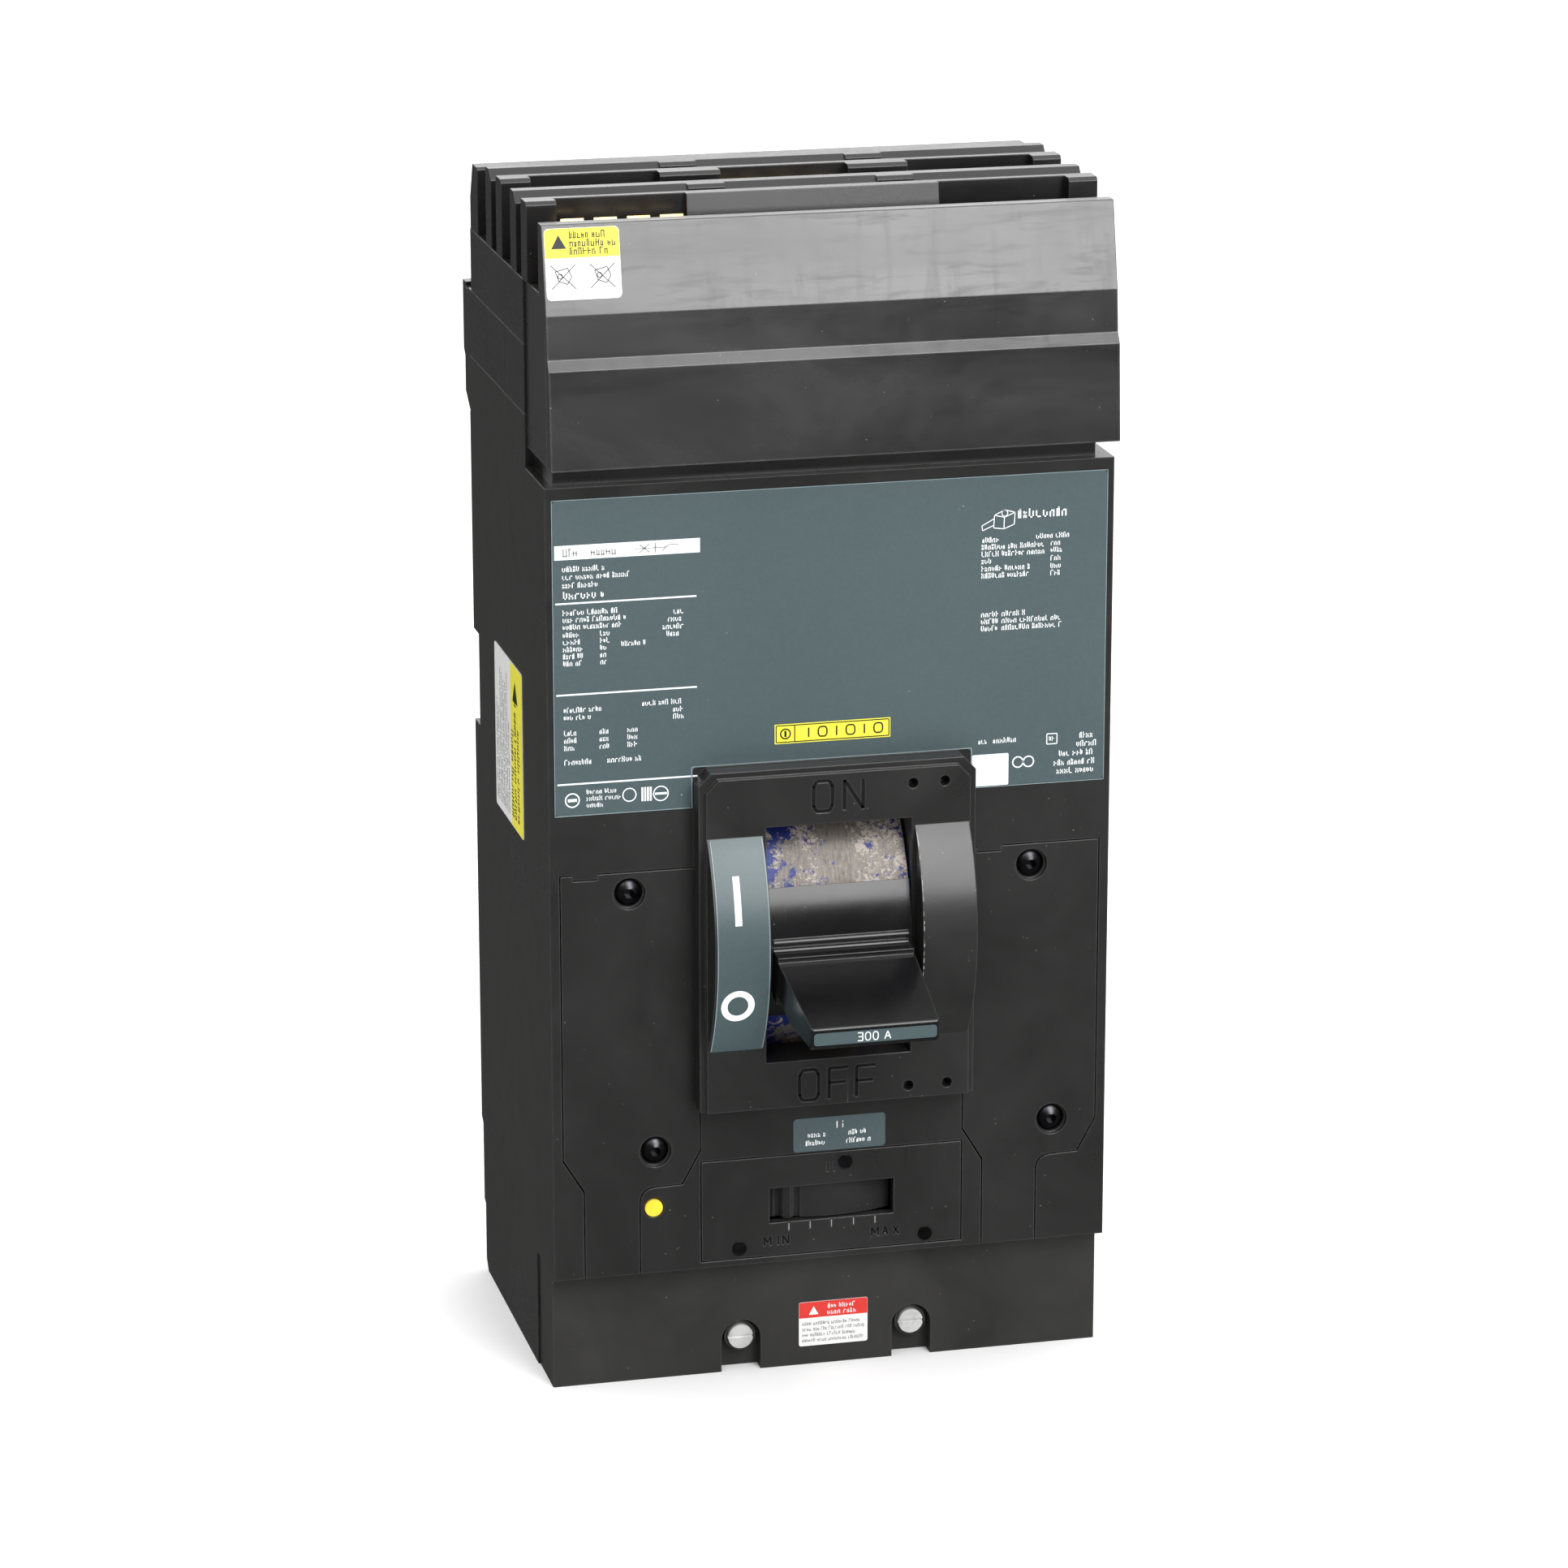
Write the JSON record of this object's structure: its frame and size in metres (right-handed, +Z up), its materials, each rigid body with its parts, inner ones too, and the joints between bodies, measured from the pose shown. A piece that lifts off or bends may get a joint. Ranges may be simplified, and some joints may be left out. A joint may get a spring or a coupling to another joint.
{
  "type": "molded case circuit breaker",
  "caption": "Molded case breaker with plug-on line jaws behind slotted barrier walls, toggle handle, adjustable trip unit and box lugs at the load end.",
  "frame": {"origin": "middle of the base's flat back face, on the centre plane, 160 mm above the bottom edge", "axes": "+Z up along the height, +X to the right seen from the front, +Y out of the back face; the handle faces -Y"},
  "size_m": [0.1526, 0.1563, 0.3202],
  "materials": {
    "case_plastic": "satin",
    "handle_plastic": "satin",
    "inner_plastic": "matte",
    "adjuster_plastic": "satin",
    "button_yellow": "gloss",
    "label_grey": "satin",
    "label_white": "satin",
    "painted_plate": "worn",
    "plated_brass": "plated",
    "contact_silver": "satin",
    "zinc_steel": "zinc plated",
    "black_steel": "black oxide",
    "spring_steel": "bright",
    "lug_aluminium": "satin"
  },
  "bodies": {
    "case": {"base": "case_plastic", "cover": "case_plastic", "line_block": "case_plastic", "line_housing": "case_plastic", "barrier_walls": "case_plastic", "line_front_cover": "case_plastic", "lug_cover": "case_plastic", "left_accessory_cover": "case_plastic", "right_accessory_cover": "case_plastic", "trip_adjust_cover": "case_plastic", "trip_unit_frames": "inner_plastic", "button_guide": "inner_plastic", "arc_chute_walls": "inner_plastic", "trip_bar_bearings": "inner_plastic", "main_label": "label_grey", "adjuster_label": "label_grey", "io_label": "label_white", "line_end_sticker": "label_white", "side_sticker": "label_white", "lug_cover_sticker": "label_white", "line_jaws": "plated_brass", "line_straps": "plated_brass", "load_straps": "plated_brass", "heater_strips": "plated_brass", "flexible_braids": "plated_brass", "fixed_contacts": "contact_silver", "mounting_screws": "zinc_steel", "case_screws": "zinc_steel", "trip_cover_rivets": "zinc_steel", "mechanism_frame_plates": "zinc_steel", "cradle": "zinc_steel", "rear_mounting_bracket": "zinc_steel", "adjuster_spindle": "zinc_steel", "mechanism_pins": "zinc_steel", "arc_chute_plates": "zinc_steel", "magnet_yokes": "zinc_steel", "armature_brackets": "zinc_steel", "accessory_cover_screws": "black_steel", "load_lugs": "lug_aluminium", "lug_binding_screws": "lug_aluminium"},
    "handle_body": {"handle": "handle_plastic", "handle_slide_plate": "painted_plate", "handle_yoke": "zinc_steel", "main_springs": "spring_steel", "rating_label": "label_grey"},
    "crossbar_body": {"crossbar": "inner_plastic", "contact_arms": "plated_brass", "moving_contacts": "contact_silver", "arm_pin": "zinc_steel"},
    "upper_link_body": {"upper_links": "zinc_steel", "toggle_pin": "zinc_steel"},
    "lower_link_body": {"lower_links": "zinc_steel"},
    "adjuster_body": {"adjuster": "adjuster_plastic"},
    "button_body": {"push_to_trip_button": "button_yellow", "button_return_spring": "spring_steel"},
    "trip_bar_body": {"trip_bar": "inner_plastic"},
    "latch_body": {"trip_latch": "zinc_steel"},
    "armature_a_body": {"armature_a": "zinc_steel"},
    "armature_b_body": {"armature_b": "zinc_steel"},
    "armature_c_body": {"armature_c": "zinc_steel"}
  },
  "joints": [
    {"name": "handle_hinge", "type": "hinge", "parent": "case", "child": "handle_body", "pos_m": [0, -0.0682, -0.0345], "axis": [-1, 0, 0], "range_deg": [0, 20.8], "deforming": ["main_springs"]},
    {"name": "crossbar_hinge", "type": "hinge", "parent": "case", "child": "crossbar_body", "pos_m": [0, -0.0276, -0.048], "axis": [-1, 0, 0], "range_deg": [0, 26.1]},
    {"name": "upper_link_hinge", "type": "hinge", "parent": "case", "child": "upper_link_body", "pos_m": [0, -0.0589, -0.0323], "axis": [-1, 0, 0], "range_deg": [0, 30.62]},
    {"name": "lower_link_hinge", "type": "hinge", "parent": "crossbar_body", "child": "lower_link_body", "pos_m": [0, -0.03165, -0.03408], "axis": [-1, 0, 0], "range_deg": [-43.3, 0]},
    {"name": "adjuster_hinge", "type": "hinge", "parent": "case", "child": "adjuster_body", "pos_m": [0, -0.0571, -0.11125], "axis": [0, 0, 1], "range_deg": [0, 31.2]},
    {"name": "button_slide", "type": "slide", "parent": "case", "child": "button_body", "axis": [0, 1, 0], "range_m": [0, 0.0025], "stiffness_N_per_m": 300, "springref_m": -0.003, "deforming": ["button_return_spring"]},
    {"name": "trip_bar_hinge", "type": "hinge", "parent": "case", "child": "trip_bar_body", "pos_m": [0, -0.0508, -0.076], "axis": [1, 0, 0], "range_deg": [0, 3.4]},
    {"name": "trip_latch_hinge", "type": "hinge", "parent": "case", "child": "latch_body", "pos_m": [0, -0.0436, -0.0656], "axis": [-1, 0, 0], "range_deg": [0, 5.1]},
    {"name": "armature_a_hinge", "type": "hinge", "parent": "case", "child": "armature_a_body", "pos_m": [-0.0508, -0.04, -0.1015], "axis": [1, 0, 0], "range_deg": [0, 5], "stiffness_Nm_per_rad": 0.05, "springref_deg": -17.19},
    {"name": "armature_b_hinge", "type": "hinge", "parent": "case", "child": "armature_b_body", "pos_m": [0, -0.04, -0.1015], "axis": [1, 0, 0], "range_deg": [0, 5], "stiffness_Nm_per_rad": 0.05, "springref_deg": -17.19},
    {"name": "armature_c_hinge", "type": "hinge", "parent": "case", "child": "armature_c_body", "pos_m": [0.0508, -0.04, -0.1015], "axis": [1, 0, 0], "range_deg": [0, 5], "stiffness_Nm_per_rad": 0.05, "springref_deg": -17.19}
  ],
  "couplings": [
    {"joint": "crossbar_hinge", "follows": "handle_hinge", "ratio": 1.25},
    {"joint": "upper_link_hinge", "follows": "handle_hinge", "ratio": 1.4674},
    {"joint": "lower_link_hinge", "follows": "handle_hinge", "ratio": -2.0768},
    {"joint": "trip_bar_hinge", "follows": "button_slide", "rad_per_m": 23.1},
    {"joint": "trip_latch_hinge", "follows": "button_slide", "rad_per_m": 34.9}
  ]
}
